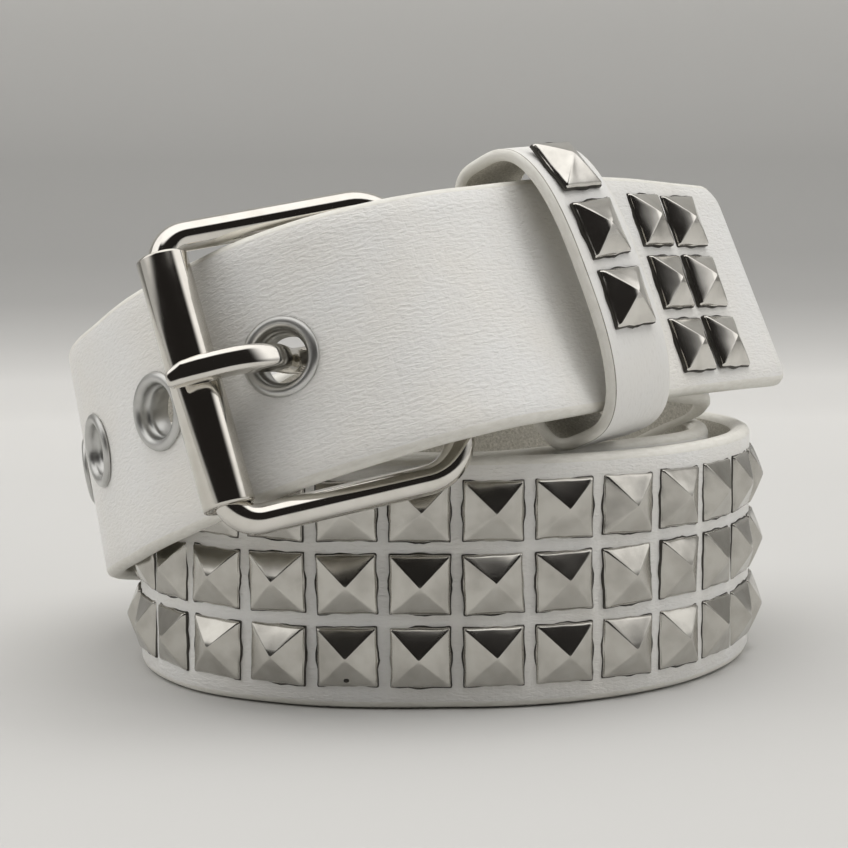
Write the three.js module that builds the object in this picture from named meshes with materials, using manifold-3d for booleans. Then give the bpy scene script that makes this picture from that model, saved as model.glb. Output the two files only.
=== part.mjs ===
// A white leather belt with three rows of square pyramid studs. It is buckled and stands on its edge, rolled
// into a coil of three turns. The buckle end starts high at the front, sinks inside the coil and runs round on
// the floor. The end with the eyelets climbs at the left, goes through the roller buckle and ends in the tip.
// Millimetres, +Z up, the front of the coil faces -Y, and the belt stands on Z = 0.

import * as THREE from 'three';
import { mergeVertices } from 'three/addons/utils/BufferGeometryUtils.js';
import Module from 'manifold-3d';

// Strap
const STRAP_WIDTH = 38;
const STRAP_THICKNESS = 3.2;
const COIL_RADIUS = 50;          // outer face of the turn that shows at the front
const LAYER_GAP = 0.45;          // air between one turn and the next
const PLAIN_STEP = 5.5;          // length of one flat of the strap where nothing sits on it
const TIP_CORNER_RADIUS = 3.5;

// Studs
const STUD_SIZE = 9;
const STUD_PITCH = 11;
const STUD_ROWS = 3;
const STUD_HEIGHT = 2.7;
const STUD_WALL = 0.6;           // upright edge below the four slopes
const STUD_SINK = 0.6;           // how deep a fixed stud is set in the leather
const STUD_BED = 0.25;           // spare flat leather before and after a stud
const TIP_STUD_COLUMNS = 2;
const TIP_TO_STUD = 14.5;        // end of the strap to the centre of the last column
const BUCKLE_TO_STUDS = 96;      // bar of the buckle to the first column, at least
const STUDS_TO_HOLES = 16;       // last column to the first eyelet

// Eyelets
const HOLE_COUNT = 5;
const HOLE_PITCH = 24.9;
const TIP_TO_HOLE = 108.3;       // end of the strap to the eyelet in use
const HOLE_TURN = 1055.3;        // where the eyelet in use stands on the coil, degrees along the belt
const EYELET_OUTER = 12;
const EYELET_BORE = 7.2;
const EYELET_WALL = 0.6;
const EYELET_RIM = 0.8;

// Buckle
const WIRE_DIAMETER = 4.5;
const ROLLER_DIAMETER = 7.6;
const ROLLER_BEFORE_HOLE = 10.9; // along the strap, from the eyelet in use back to the roller
const BAR_AFTER_HOLE = 27.7;     // along the strap, from the eyelet in use on to the rear bar
const FRAME_CLEARANCE = 0.5;     // strap edge to the side of the frame
const FRONT_CORNER_RADIUS = 2.6;
const REAR_CORNER_RADIUS = 7;
const PRONG_DIAMETER = 3.8;
const PRONG_EYE = 2.4;           // thickness of the prong where it goes round the bar
const PRONG_EYE_WIDTH = 4.6;
const PRONG_TIP_THICKNESS = 2;
const PRONG_EYE_TURN = 255;       // degrees that the prong's eye goes round the bar
const PRONG_OVERHANG = 5;        // how far the prong reaches past the roller's axis
const PRONG_ENTRY = 0.75;        // where the prong dives behind the strap, as a share of the bore past the hole
const PRONG_DIVE = 2.6;          // how deep it lies there, in halves of its diameter behind the strap
const PRONG_LEAN_BEHIND = 0.04;  // share of the bore that it leans to the bar at the back of the hole
const PRONG_LEAN_FRONT = 0.1;    // share of the bore that it leans to the roller at the front of the hole
const FOLD_LENGTH = 26;          // leather turned back behind the bar
const FOLD_CLOSE_UP = 16;        // length over which the turned end closes up to the strap
const BEFORE_BAR = 6;            // degrees of the way that are worked out before the bar
const FOLD_WIDTH = 31.4;         // the strap is cut narrower where it goes round the bar
const FOLD_SHOULDER = 60;        // length over which it comes back to its full width
const SLOT_WIDTH = 6.4;
const SLOT_REACH = 8;

// Keeper
const KEEPER_BAND = 15;
const KEEPER_THICKNESS = 1.9;
const KEEPER_FROM_TIP = 53.5;    // end of the strap to the middle of the keeper
const KEEPER_TWIST = 6;          // degrees that the loose keeper is turned from the strap towards the front
const KEEPER_ROOM = 2.8;         // air past each edge of the strap
const KEEPER_LIFT = 0.9;         // it sits this much above the middle of the strap
const KEEPER_SLACK_BEHIND = 1.65;
const KEEPER_FRONT_SHAPE = 2.7;  // how square the loop is: 2 is an oval, more is squarer
const KEEPER_BACK_SHAPE = 4;
const KEEPER_STUDS = 3;
const KEEPER_STUD_PITCH = 11.3;
const KEEPER_STUD_DROP = 5;      // the lowest keeper stud's centre below the middle of the strap

const CLEARANCE = 0.3;           // between pieces that touch on the real belt
const ROLLER_CLEARANCE = 1.2;    // roller to strap, which lies a little askew under it

// Steps of the round shapes
const WIRE_SIDES = 12;
const ROUND_SIDES = 20;
const WRAP_BENDS = 10;
const TIP_CORNER_STEPS = 4;
const FRAME_CORNER_STEPS = 6;
const EYE_STEPS = 12;
const STEPS_PER_STOP = 5;
const LOOP_STEPS = 40;
const WAY_STEP = 0.5;            // degrees between two points when the way is measured
const FRAME_STEP = 0.2;          // degrees to each side when its direction is taken

// The way of the strap, as one row for each bend. The turn is the angle gone round the coil, in degrees: 0 is the
// front, 90 the right, and 360 the front again one turn further out. The outer face stands at reach times the
// coil radius, less the room for the studded layers outside it. Middle is the height of the strap's middle as a
// share of its width, and lean is how far its top tips inward, in degrees.
const WAY = [
  { turn: 84, reach: 0.982, studded: 2, middle: 1.58, lean: 21.5 },
  { turn: 96, reach: 1.0, studded: 2, middle: 1.515, lean: 18 },
  { turn: 110, reach: 0.982, studded: 2, middle: 1.43, lean: 10 },
  { turn: 140, reach: 0.97, studded: 2, middle: 1.24, lean: 3 },
  { turn: 190, reach: 0.995, studded: 2, middle: 0.93, lean: 0 },
  { turn: 250, reach: 1.06, studded: 2, middle: 0.62, lean: 0 },
  { turn: 300, reach: 1.115, studded: 2, middle: 0.5, lean: 0 },
  { turn: 345, reach: 1.12, studded: 2, middle: 0.5, lean: 0 },
  { turn: 366, reach: 0.975, studded: 1, middle: 0.5, lean: 0 },
  { turn: 384, reach: 0.893, studded: 1, middle: 0.5, lean: 0 },
  { turn: 404, reach: 0.885, studded: 1, middle: 0.5, lean: 0 },
  { turn: 436, reach: 0.97, studded: 1, middle: 0.5, lean: 0 },
  { turn: 456, reach: 1.0, studded: 1, middle: 0.5, lean: 0 },
  { turn: 540, reach: 1.045, studded: 1, middle: 0.5, lean: 0 },
  { turn: 610, reach: 1.13, studded: 1, middle: 0.5, lean: 0 },
  { turn: 650, reach: 1.225, studded: 1, middle: 0.5, lean: 0 },
  { turn: 668, reach: 1.238, studded: 1, middle: 0.5, lean: 0 },
  { turn: 690, reach: 1.055, studded: 0, middle: 0.5, lean: 0 },
  { turn: 720, reach: 0.97, studded: 0, middle: 0.5, lean: 0 },
  { turn: 775, reach: 0.972, studded: 0, middle: 0.5, lean: 0 },
  { turn: 796, reach: 0.985, studded: 0, middle: 0.5, lean: 0 },
  { turn: 814, reach: 1.012, studded: 0, middle: 0.5, lean: 0 },
  { turn: 860, reach: 1.045, studded: 0, middle: 0.5, lean: 0 },
  { turn: 900, reach: 1.105, studded: 0, middle: 0.5, lean: 0 },
  { turn: 940, reach: 1.185, studded: 0, middle: 0.575, lean: -5 },
  { turn: 975, reach: 1.245, studded: 0, middle: 0.72, lean: -9.5 },
  { turn: 998, reach: 1.25, studded: 0, middle: 0.85, lean: -9 },
  { turn: 1016, reach: 1.248, studded: 0, middle: 0.99, lean: -5.5 },
  { turn: 1032, reach: 1.267, studded: 0, middle: 1.15, lean: -0.5 },
  { turn: 1046, reach: 1.269, studded: 0, middle: 1.31, lean: 6.5 },
  { turn: 1060, reach: 1.226, studded: 0, middle: 1.46, lean: 16.5 },
  { turn: 1072, reach: 1.125, studded: 0, middle: 1.555, lean: 24 },
  { turn: 1082, reach: 1.013, studded: 0, middle: 1.6, lean: 26 },
  { turn: 1092, reach: 0.909, studded: 0, middle: 1.62, lean: 25.5 },
  { turn: 1104, reach: 0.809, studded: 0, middle: 1.633, lean: 23.5 },
  { turn: 1118, reach: 0.731, studded: 0, middle: 1.641, lean: 22 },
  { turn: 1134, reach: 0.697, studded: 0, middle: 1.645, lean: 21 },
  { turn: 1150, reach: 0.723, studded: 0, middle: 1.645, lean: 21.5 },
  { turn: 1164, reach: 0.809, studded: 0, middle: 1.64, lean: 23 },
  { turn: 1173, reach: 0.915, studded: 0, middle: 1.635, lean: 24.5 },
  { turn: 1181, reach: 1.075, studded: 0, middle: 1.63, lean: 26 },
  { turn: 1190, reach: 1.374, studded: 0, middle: 1.63, lean: 27 },
];
const TURNS_ON_TOP = 1080;       // the tip lies this many degrees after the buckle end that it covers
const UNDER_TIP = [12, 24, 38, 54, 70];

// Helpers for shapes

const wasm = await Module();
wasm.setup();

const studLayer = STRAP_THICKNESS + STUD_HEIGHT + LAYER_GAP;
const plainLayer = STRAP_THICKNESS + LAYER_GAP;
const up = new THREE.Vector3(0, 0, 1);

// A closed geometry as a solid that can be joined and cut.
function solid(geometry, matrix = new THREE.Matrix4()) {
  const plain = geometry.clone().applyMatrix4(matrix);
  plain.deleteAttribute('normal');
  plain.deleteAttribute('uv');
  const merged = mergeVertices(plain, 1e-4);
  return new wasm.Manifold(new wasm.Mesh({
    numProp: 3,
    vertProperties: new Float32Array(merged.attributes.position.array),
    triVerts: new Uint32Array(merged.index.array),
  }));
}

// A solid back as a three.js geometry.
function geometryOf(body) {
  const { vertProperties, triVerts } = body.getMesh();
  const geometry = new THREE.BufferGeometry();
  geometry.setAttribute('position', new THREE.BufferAttribute(vertProperties, 3));
  geometry.setIndex(new THREE.BufferAttribute(triVerts, 1));
  geometry.computeVertexNormals();
  return geometry;
}

// A skin over rings of points. A closed one joins its last ring to its first, an open one gets two end faces.
function skin(rings, closed = false) {
  const sides = rings[0].length;
  const points = rings.flat().flatMap((point) => point.toArray());
  const faces = [];
  const bands = closed ? rings.length : rings.length - 1;
  for (let band = 0; band < bands; band += 1) {
    const next = (band + 1) % rings.length;
    for (let side = 0; side < sides; side += 1) {
      const a = band * sides + side;
      const b = band * sides + (side + 1) % sides;
      const c = next * sides + (side + 1) % sides;
      const d = next * sides + side;
      faces.push(a, b, c, a, c, d);
    }
  }
  if (!closed) {
    const last = (rings.length - 1) * sides;
    for (let side = 1; side < sides - 1; side += 1) {
      faces.push(0, side + 1, side, last, last + side, last + side + 1);
    }
  }
  const geometry = new THREE.BufferGeometry();
  geometry.setAttribute('position', new THREE.Float32BufferAttribute(points, 3));
  geometry.setIndex(faces);
  return geometry;
}

// A matrix with the three given directions as its X, Y and Z, standing at a point.
function basis(x, y, z, point) {
  return new THREE.Matrix4().makeBasis(x, y, z).setPosition(point);
}

function mix(start, end, share) {
  return start + (end - start) * share;
}

// The way of the strap

// A column of the table at a turn: a cubic through the rows that never swings past them.
function smooth(rows, column, turn) {
  const last = rows.length - 2;
  let at = rows.findIndex((row) => row.turn > turn) - 1;
  at = at === -2 ? last : Math.min(Math.max(at, 0), last);
  const rise = (row) => (rows[row + 1][column] - rows[row][column]) / (rows[row + 1].turn - rows[row].turn);
  const slope = (row) => {
    if (row === 0) return rise(0);
    if (row === rows.length - 1) return rise(row - 1);
    const before = rise(row - 1);
    const after = rise(row);
    if (before * after <= 0) return 0;
    const wide = rows[row + 1].turn - rows[row].turn;
    const narrow = rows[row].turn - rows[row - 1].turn;
    const middle = (before * wide + after * narrow) / (wide + narrow);
    const most = 3 * Math.min(Math.abs(before), Math.abs(after));
    return Math.sign(middle) * Math.min(Math.abs(middle), most);
  };
  const span = rows[at + 1].turn - rows[at].turn;
  const t = (turn - rows[at].turn) / span;
  return rows[at][column] * (1 + 2 * t) * (1 - t) ** 2
    + rows[at + 1][column] * t * t * (3 - 2 * t)
    + slope(at) * span * t * (1 - t) ** 2
    - slope(at + 1) * span * t * t * (1 - t);
}

function pointAt(rows, turn) {
  const angle = THREE.MathUtils.degToRad(turn);
  const radius = smooth(rows, 'radius', turn);
  return new THREE.Vector3(radius * Math.sin(angle), -radius * Math.cos(angle), smooth(rows, 'height', turn));
}

// The strap at a turn: the middle of its outer face, the way it runs, the way across it and the way out of it.
function frameAt(rows, turn) {
  const face = pointAt(rows, turn);
  const along = pointAt(rows, turn + FRAME_STEP).sub(pointAt(rows, turn - FRAME_STEP)).normalize();
  const level = new THREE.Vector3().crossVectors(along, up).normalize();
  const upright = new THREE.Vector3().crossVectors(level, along);
  const lean = THREE.MathUtils.degToRad(smooth(rows, 'lean', turn));
  const across = upright.clone().multiplyScalar(Math.cos(lean)).addScaledVector(level, -Math.sin(lean));
  const out = level.clone().multiplyScalar(Math.cos(lean)).addScaledVector(upright, Math.sin(lean));
  return { face, along, across, out };
}

// Arc length along the rows from a first to a last turn, with a way back from length to turn.
function measure(rows, first, last) {
  const turns = [first];
  const lengths = [0];
  for (let turn = first + WAY_STEP; turn < last + WAY_STEP; turn += WAY_STEP) {
    const gone = pointAt(rows, turn).distanceTo(pointAt(rows, turn - WAY_STEP));
    turns.push(turn);
    lengths.push(lengths[lengths.length - 1] + gone);
  }
  const between = (from, to, value) => {
    const after = Math.min(Math.max(from.findIndex((entry) => entry > value), 1), from.length - 1);
    const share = (value - from[after - 1]) / (from[after] - from[after - 1]);
    return mix(to[after - 1], to[after], share);
  };
  return {
    lengthAt: (turn) => between(turns, lengths, turn),
    turnAt: (length) => between(lengths, turns, length),
  };
}

const outerRows = WAY.map((row) => ({
  turn: row.turn,
  radius: row.reach * COIL_RADIUS - row.studded * studLayer,
  height: row.middle * STRAP_WIDTH,
  lean: row.lean,
}));
const outerRun = measure(outerRows, WAY[0].turn, WAY[WAY.length - 1].turn);
const overBar = outerRun.turnAt(outerRun.lengthAt(HOLE_TURN) + BAR_AFTER_HOLE) - TURNS_ON_TOP;

// The buckle end lies against the back of the tip end, so its rows are worked out from the rows above it.
function rowUnder(turn) {
  const cover = frameAt(outerRows, turn + TURNS_ON_TOP);
  const point = cover.face.clone().addScaledVector(cover.out, -plainLayer);
  return {
    turn: THREE.MathUtils.radToDeg(Math.atan2(point.x, -point.y)),
    radius: Math.hypot(point.x, point.y),
    height: point.z,
    lean: smooth(outerRows, 'lean', turn + TURNS_ON_TOP),
  };
}

const rows = [rowUnder(overBar - BEFORE_BAR), ...UNDER_TIP.map(rowUnder), ...outerRows];
const barTurn = rowUnder(overBar).turn;
const run = measure(rows, barTurn, WAY[WAY.length - 1].turn);
const holeLength = run.lengthAt(HOLE_TURN);
const tipLength = holeLength + TIP_TO_HOLE;

// The bar and the roller are parallel, so they take the mean of the two ways across the strap at their places.
const underRoller = frameAt(rows, run.turnAt(holeLength - ROLLER_BEFORE_HOLE));
const frameAcross = frameAt(rows, barTurn).across.add(underRoller.across).normalize();

// The strap at a length from the bar. Near the bar it is turned to lie square across it.
function at(length) {
  const frame = frameAt(rows, run.turnAt(length));
  const share = THREE.MathUtils.smoothstep(length, 0, FOLD_LENGTH);
  frame.across = frameAcross.clone().lerp(frame.across, share);
  frame.across.addScaledVector(frame.along, -frame.along.dot(frame.across)).normalize();
  frame.out.crossVectors(frame.along, frame.across);
  return frame;
}

const holeLengths = Array.from({ length: HOLE_COUNT }, (_, hole) => holeLength - hole * HOLE_PITCH);
const tipColumns = Array.from({ length: TIP_STUD_COLUMNS }, (_, column) => (
  tipLength - TIP_TO_STUD - (TIP_STUD_COLUMNS - 1 - column) * STUD_PITCH));
const lastColumn = holeLengths[HOLE_COUNT - 1] - STUDS_TO_HOLES;
const columnCount = Math.floor((lastColumn - BUCKLE_TO_STUDS) / STUD_PITCH) + 1;
const columns = Array.from({ length: columnCount }, (_, column) => (
  lastColumn - (columnCount - 1 - column) * STUD_PITCH));

// Strap

// Lengths where the strap bends: beside every stud and eyelet, which need a flat bed, and evenly between them.
function bendLengths() {
  const studBed = STUD_SIZE / 2 + STUD_BED;
  const eyeletBed = EYELET_OUTER / 2 + STUD_BED;
  const beds = [
    ...columns.map((length) => [length - studBed, length + studBed]),
    ...holeLengths.map((length) => [length - eyeletBed, length + eyeletBed]),
    ...tipColumns.map((length) => [length - studBed, length + studBed]),
  ].sort((a, b) => a[0] - b[0]);
  const end = tipLength - TIP_CORNER_RADIUS;
  const bends = [0];
  for (const [from, to] of [...beds, [end, end]]) {
    const start = bends[bends.length - 1];
    const pieces = Math.max(1, Math.round((from - start) / PLAIN_STEP));
    for (let piece = 1; piece <= pieces; piece += 1) {
      bends.push(mix(start, from, piece / pieces));
    }
    if (to > from) bends.push(to);
  }
  return bends;
}

// The four corners of a cut through the strap: its outer face, and its back one thickness in.
function cut(frame, halfWidth, lift = 0, thickness = STRAP_THICKNESS) {
  const corner = (side, depth) => frame.face.clone()
    .addScaledVector(frame.across, side * halfWidth)
    .addScaledVector(frame.out, lift - depth);
  return [corner(1, 0), corner(-1, 0), corner(-1, thickness), corner(1, thickness)];
}

const barRadius = WIRE_DIAMETER / 2;
const wrapRadius = barRadius + CLEARANCE + STRAP_THICKNESS;
const start = at(0);
start.across.copy(frameAcross);
start.out.crossVectors(start.along, start.across).normalize();
start.along.crossVectors(start.across, start.out);
const bar = start.face.clone().addScaledVector(start.out, -wrapRadius);

// The leather goes round the bar, and behind it the turned end closes up to the back of the strap.
function foldFrames(reach) {
  const frames = [];
  const steps = Math.ceil(reach / PLAIN_STEP);
  for (let step = steps; step > 0; step -= 1) {
    const length = reach * step / steps;
    const over = at(length);
    const closed = 2 * STRAP_THICKNESS + CLEARANCE;
    const depth = mix(2 * wrapRadius, closed, THREE.MathUtils.smoothstep(length, 0, FOLD_CLOSE_UP));
    frames.push({
      length,
      face: over.face.clone().addScaledVector(over.out, -depth),
      across: over.across,
      out: over.out.clone().negate(),
    });
  }
  for (let bend = 0; bend < WRAP_BENDS; bend += 1) {
    const angle = Math.PI * (1 - bend / WRAP_BENDS);
    const out = start.out.clone().multiplyScalar(Math.cos(angle))
      .addScaledVector(start.along, -Math.sin(angle));
    frames.push({ length: 0, face: bar.clone().addScaledVector(out, wrapRadius), across: start.across, out });
  }
  return frames;
}

function halfWidthAt(length) {
  return mix(FOLD_WIDTH, STRAP_WIDTH, THREE.MathUtils.smoothstep(length, 0, FOLD_SHOULDER)) / 2;
}

function strapGeometry() {
  const half = STRAP_WIDTH / 2;
  const rings = foldFrames(FOLD_LENGTH).map((frame) => cut(frame, halfWidthAt(frame.length)));
  for (const length of bendLengths()) {
    rings.push(cut(at(length), halfWidthAt(length)));
  }
  for (let step = 1; step <= TIP_CORNER_STEPS; step += 1) {
    const angle = (Math.PI / 2) * (step / TIP_CORNER_STEPS);
    const length = tipLength - TIP_CORNER_RADIUS * (1 - Math.sin(angle));
    rings.push(cut(at(length), half - TIP_CORNER_RADIUS * (1 - Math.cos(angle))));
  }
  return skin(rings);
}

// The slot that lets the prong round the bar is cut along the fold.
function slotGeometry() {
  const spare = LAYER_GAP / 2;
  const thickness = STRAP_THICKNESS + 2 * spare;
  const frames = [...foldFrames(SLOT_REACH), start, at(SLOT_REACH / 2), at(SLOT_REACH)];
  return skin(frames.map((frame) => cut(frame, SLOT_WIDTH / 2, spare, thickness)));
}

// A square stud with a short upright edge and four slopes, standing on Y = 0.
function studGeometry(foot) {
  const corner = STUD_SIZE / Math.SQRT2;
  const profile = [
    new THREE.Vector2(0, foot),
    new THREE.Vector2(corner, foot),
    new THREE.Vector2(corner, STUD_WALL),
    new THREE.Vector2(0, STUD_HEIGHT),
  ];
  return new THREE.LatheGeometry(profile, 4, Math.PI / 4);
}

// The bed of a stud or eyelet: the flat between the two bends beside it.
function bedMatrix(length, halfBed, across = 0) {
  const before = at(length - halfBed);
  const after = at(length + halfBed);
  const side = before.across.clone().add(after.across).normalize();
  const along = after.face.clone().sub(before.face).normalize();
  const out = new THREE.Vector3().crossVectors(along, side).normalize();
  side.crossVectors(out, along);
  const point = before.face.clone().add(after.face).multiplyScalar(0.5).addScaledVector(side, across);
  return basis(along, out, side.clone().negate(), point);
}

function rowOffset(row) {
  return ((STUD_ROWS - 1) / 2 - row) * STUD_PITCH;
}

const studBed = STUD_SIZE / 2 + STUD_BED;
const eyeletBed = EYELET_OUTER / 2 + STUD_BED;

function strapWithStuds() {
  const studs = columns.flatMap((length) => Array.from({ length: STUD_ROWS }, (_, row) => (
    solid(studGeometry(-STUD_SINK), bedMatrix(length, studBed, rowOffset(row))))));
  const punch = new THREE.CylinderGeometry(
    EYELET_BORE / 2 + EYELET_WALL + CLEARANCE,
    EYELET_BORE / 2 + EYELET_WALL + CLEARANCE,
    2 * STRAP_THICKNESS,
    ROUND_SIDES,
  );
  punch.translate(0, -STRAP_THICKNESS / 2, 0);
  const holes = holeLengths.map((length) => solid(punch, bedMatrix(length, eyeletBed)));
  const strap = wasm.Manifold.union([solid(strapGeometry()), ...studs]);
  return strap.subtract(wasm.Manifold.union([solid(slotGeometry()), ...holes]));
}

// Eyelet

// A turned spool: a rounded rim outside, a barrel through the hole and a flat rim behind.
function eyeletGeometry() {
  const bore = EYELET_BORE / 2;
  const barrel = bore + EYELET_WALL;
  const rim = EYELET_OUTER / 2;
  const front = CLEARANCE;
  const back = -STRAP_THICKNESS - CLEARANCE;
  const profile = [
    [bore, back - EYELET_RIM],
    [rim, back - EYELET_RIM],
    [rim, back],
    [barrel, back],
    [barrel, front],
    [rim, front],
    [rim - EYELET_RIM / 2, front + EYELET_RIM],
    [barrel, front + EYELET_RIM],
    [bore, front],
    [bore, back - EYELET_RIM],
  ].map(([radius, height]) => new THREE.Vector2(radius, height));
  return new THREE.LatheGeometry(profile, ROUND_SIDES);
}

// Buckle

// The frame lies in the plane of the bar and the roller. Its X runs from the roller to the bar.
const rollerRadius = ROLLER_DIAMETER / 2;
const roller = underRoller.face.clone().addScaledVector(underRoller.out, rollerRadius + ROLLER_CLEARANCE);
const frameAlong = bar.clone().sub(roller);
roller.addScaledVector(frameAcross, frameAlong.dot(frameAcross));
frameAlong.copy(bar).sub(roller);
const frameReach = frameAlong.length();
frameAlong.normalize();
const frameOut = new THREE.Vector3().crossVectors(frameAlong, frameAcross).normalize();
const frameMatrix = basis(frameAlong, frameAcross, frameOut, roller);
const frameHalf = STRAP_WIDTH / 2 + FRAME_CLEARANCE + barRadius;

// One wire bent to a rectangle with round corners.
function frameGeometry() {
  const corners = [
    { x: frameReach, y: frameHalf, radius: REAR_CORNER_RADIUS, from: Math.PI / 2 },
    { x: frameReach, y: -frameHalf, radius: REAR_CORNER_RADIUS, from: 0 },
    { x: 0, y: -frameHalf, radius: FRONT_CORNER_RADIUS, from: -Math.PI / 2 },
    { x: 0, y: frameHalf, radius: FRONT_CORNER_RADIUS, from: -Math.PI },
  ];
  const rings = [];
  for (const corner of corners) {
    const middleX = corner.x - Math.sign(corner.x - frameReach / 2) * corner.radius;
    const middleY = corner.y - Math.sign(corner.y) * corner.radius;
    for (let step = 0; step <= FRAME_CORNER_STEPS; step += 1) {
      const angle = corner.from - (Math.PI / 2) * (step / FRAME_CORNER_STEPS);
      rings.push(wireRing(
        new THREE.Vector3(middleX, middleY, 0),
        new THREE.Vector3(Math.cos(angle), Math.sin(angle), 0),
        up,
        corner.radius,
        barRadius,
        barRadius,
      ));
    }
  }
  return skin(rings, true).applyMatrix4(frameMatrix);
}

// A ring of points round a wire whose middle is a distance from a centre, in the plane of two directions.
function wireRing(centre, outward, sideways, distance, halfThick, halfWide) {
  return Array.from({ length: WIRE_SIDES }, (_, side) => {
    const angle = (2 * Math.PI * side) / WIRE_SIDES;
    return centre.clone()
      .addScaledVector(outward, distance + halfThick * Math.cos(angle))
      .addScaledVector(sideways, halfWide * Math.sin(angle));
  });
}

// The roller is a tube round the front bar, between the two front corners.
function rollerGeometry() {
  const half = frameHalf - FRONT_CORNER_RADIUS;
  const bore = barRadius + CLEARANCE;
  const edge = (rollerRadius - bore) / 3;
  const profile = [
    [bore, -half],
    [rollerRadius - edge, -half],
    [rollerRadius, -half + edge],
    [rollerRadius, half - edge],
    [rollerRadius - edge, half],
    [bore, half],
    [bore, -half],
  ].map(([radius, height]) => new THREE.Vector2(radius, height));
  return new THREE.LatheGeometry(profile, ROUND_SIDES).applyMatrix4(frameMatrix);
}

// The prong goes round the bar, through the eyelet in use and over the roller.
function prongGeometry() {
  const eyeRadius = barRadius + CLEARANCE + PRONG_EYE / 2;
  const thin = PRONG_EYE / 2;
  const thick = PRONG_DIAMETER / 2;
  const stations = [];
  const eyeTurn = THREE.MathUtils.degToRad(PRONG_EYE_TURN);
  for (let step = 0; step <= EYE_STEPS; step += 1) {
    const angle = eyeTurn * (1 - step / EYE_STEPS);
    const point = bar.clone()
      .addScaledVector(frameOut, -eyeRadius * Math.cos(angle))
      .addScaledVector(frameAlong, eyeRadius * Math.sin(angle));
    stations.push({ point, thick: thin, wide: PRONG_EYE_WIDTH / 2 });
  }
  const bed = bedMatrix(holeLength, eyeletBed);
  const rim = CLEARANCE + EYELET_RIM;
  const inHole = (slide, height) => new THREE.Vector3(slide, height, 0).applyMatrix4(bed);
  const overRoller = (reach, height) => roller.clone()
    .addScaledVector(frameAlong, reach)
    .addScaledVector(frameOut, height);
  const rest = rollerRadius + CLEARANCE + thick;
  const tipThick = PRONG_TIP_THICKNESS / 2;
  const wayThrough = [
    { point: overRoller(frameReach - 2 * eyeRadius, -eyeRadius + thick / 4), thick, wide: thick },
    { point: inHole(EYELET_BORE * PRONG_ENTRY, -STRAP_THICKNESS - PRONG_DIVE * thick), thick, wide: thick },
    { point: inHole(EYELET_BORE * PRONG_LEAN_BEHIND, -STRAP_THICKNESS - rim), thick, wide: thick },
    { point: inHole(-EYELET_BORE * PRONG_LEAN_FRONT, rim), thick, wide: thick },
    { point: overRoller(rollerRadius + thick, rest + thick / 4), thick, wide: thick },
    { point: overRoller(0, rest), thick, wide: thick },
    { point: overRoller(-PRONG_OVERHANG, rest - thick / 2), thick: tipThick, wide: thick },
  ];
  const knots = [stations[stations.length - 2].point, stations[stations.length - 1].point,
    ...wayThrough.map((stop) => stop.point)];
  const curve = new THREE.CatmullRomCurve3(knots, false, 'centripetal');
  const from = stations[stations.length - 1];
  wayThrough.forEach((stop, index) => {
    const before = index === 0 ? from : wayThrough[index - 1];
    for (let step = 1; step <= STEPS_PER_STOP; step += 1) {
      const share = step / STEPS_PER_STOP;
      stations.push({
        point: curve.getPoint((index + 1 + share) / (knots.length - 1)),
        thick: mix(before.thick, stop.thick, share),
        wide: mix(before.wide, stop.wide, share),
      });
    }
  });
  return skin(stations.map((station, index) => {
    const before = stations[Math.max(index - 1, 0)].point;
    const after = stations[Math.min(index + 1, stations.length - 1)].point;
    const way = after.clone().sub(before).normalize();
    const outward = new THREE.Vector3().crossVectors(frameAcross, way).normalize();
    return wireRing(station.point, outward, frameAcross, 0, station.thick, station.wide);
  }));
}

// Keeper

// A band of leather closed to a loop round the tip end and the buckle end, loose above and below them.
const keeperLength = tipLength - KEEPER_FROM_TIP;
const keeperFrame = at(keeperLength);
const keeperTwist = THREE.MathUtils.degToRad(KEEPER_TWIST);
const keeperMatrix = basis(keeperFrame.across, keeperFrame.out, keeperFrame.along, keeperFrame.face)
  .multiply(new THREE.Matrix4().makeRotationX(-keeperTwist));

// The loop is wide enough for the strap and deep enough for both its layers, which curve back inside it.
const keeperInverse = keeperMatrix.clone().invert();
const nearCut = cut(at(keeperLength - KEEPER_BAND / 2), STRAP_WIDTH / 2);
const farCut = cut(at(keeperLength + KEEPER_BAND / 2), STRAP_WIDTH / 2, 0, STRAP_THICKNESS + plainLayer);
const depths = [...nearCut, ...farCut].map((point) => point.applyMatrix4(keeperInverse).y);
const loopFront = Math.max(...depths) + CLEARANCE;
const loopBack = Math.min(...depths) - KEEPER_SLACK_BEHIND;
const loopHalfWidth = STRAP_WIDTH / 2 + KEEPER_ROOM;

function loopHalfDepth(shape) {
  const corner = (STRAP_WIDTH / 2 + CLEARANCE + KEEPER_LIFT / 2) / loopHalfWidth;
  return (loopFront - loopBack) / 2 / (1 - corner ** shape) ** (1 / shape);
}

// Points round the loop, from the middle of its front over the top and back from below.
function loopPoints(grow) {
  return Array.from({ length: LOOP_STEPS }, (_, step) => {
    const angle = (2 * Math.PI * step) / LOOP_STEPS;
    const upward = Math.sin(angle);
    const outward = Math.cos(angle);
    const shape = outward > 0 ? KEEPER_FRONT_SHAPE : KEEPER_BACK_SHAPE;
    return new THREE.Vector3(
      KEEPER_LIFT + (loopHalfWidth + grow) * Math.sign(upward) * Math.abs(upward) ** (2 / shape),
      (loopFront + loopBack) / 2
        + (loopHalfDepth(shape) + grow) * Math.sign(outward) * Math.abs(outward) ** (2 / shape),
      0,
    );
  });
}

function keeperGeometry() {
  const flat = (points) => points.map((point) => new THREE.Vector2(point.x, point.y));
  const outline = new THREE.Shape(flat(loopPoints(KEEPER_THICKNESS)));
  outline.holes.push(new THREE.Path(flat(loopPoints(0).reverse())));
  const band = new THREE.ExtrudeGeometry(outline, { depth: KEEPER_BAND, bevelEnabled: false });
  return band.translate(0, 0, -KEEPER_BAND / 2).applyMatrix4(keeperMatrix);
}

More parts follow.
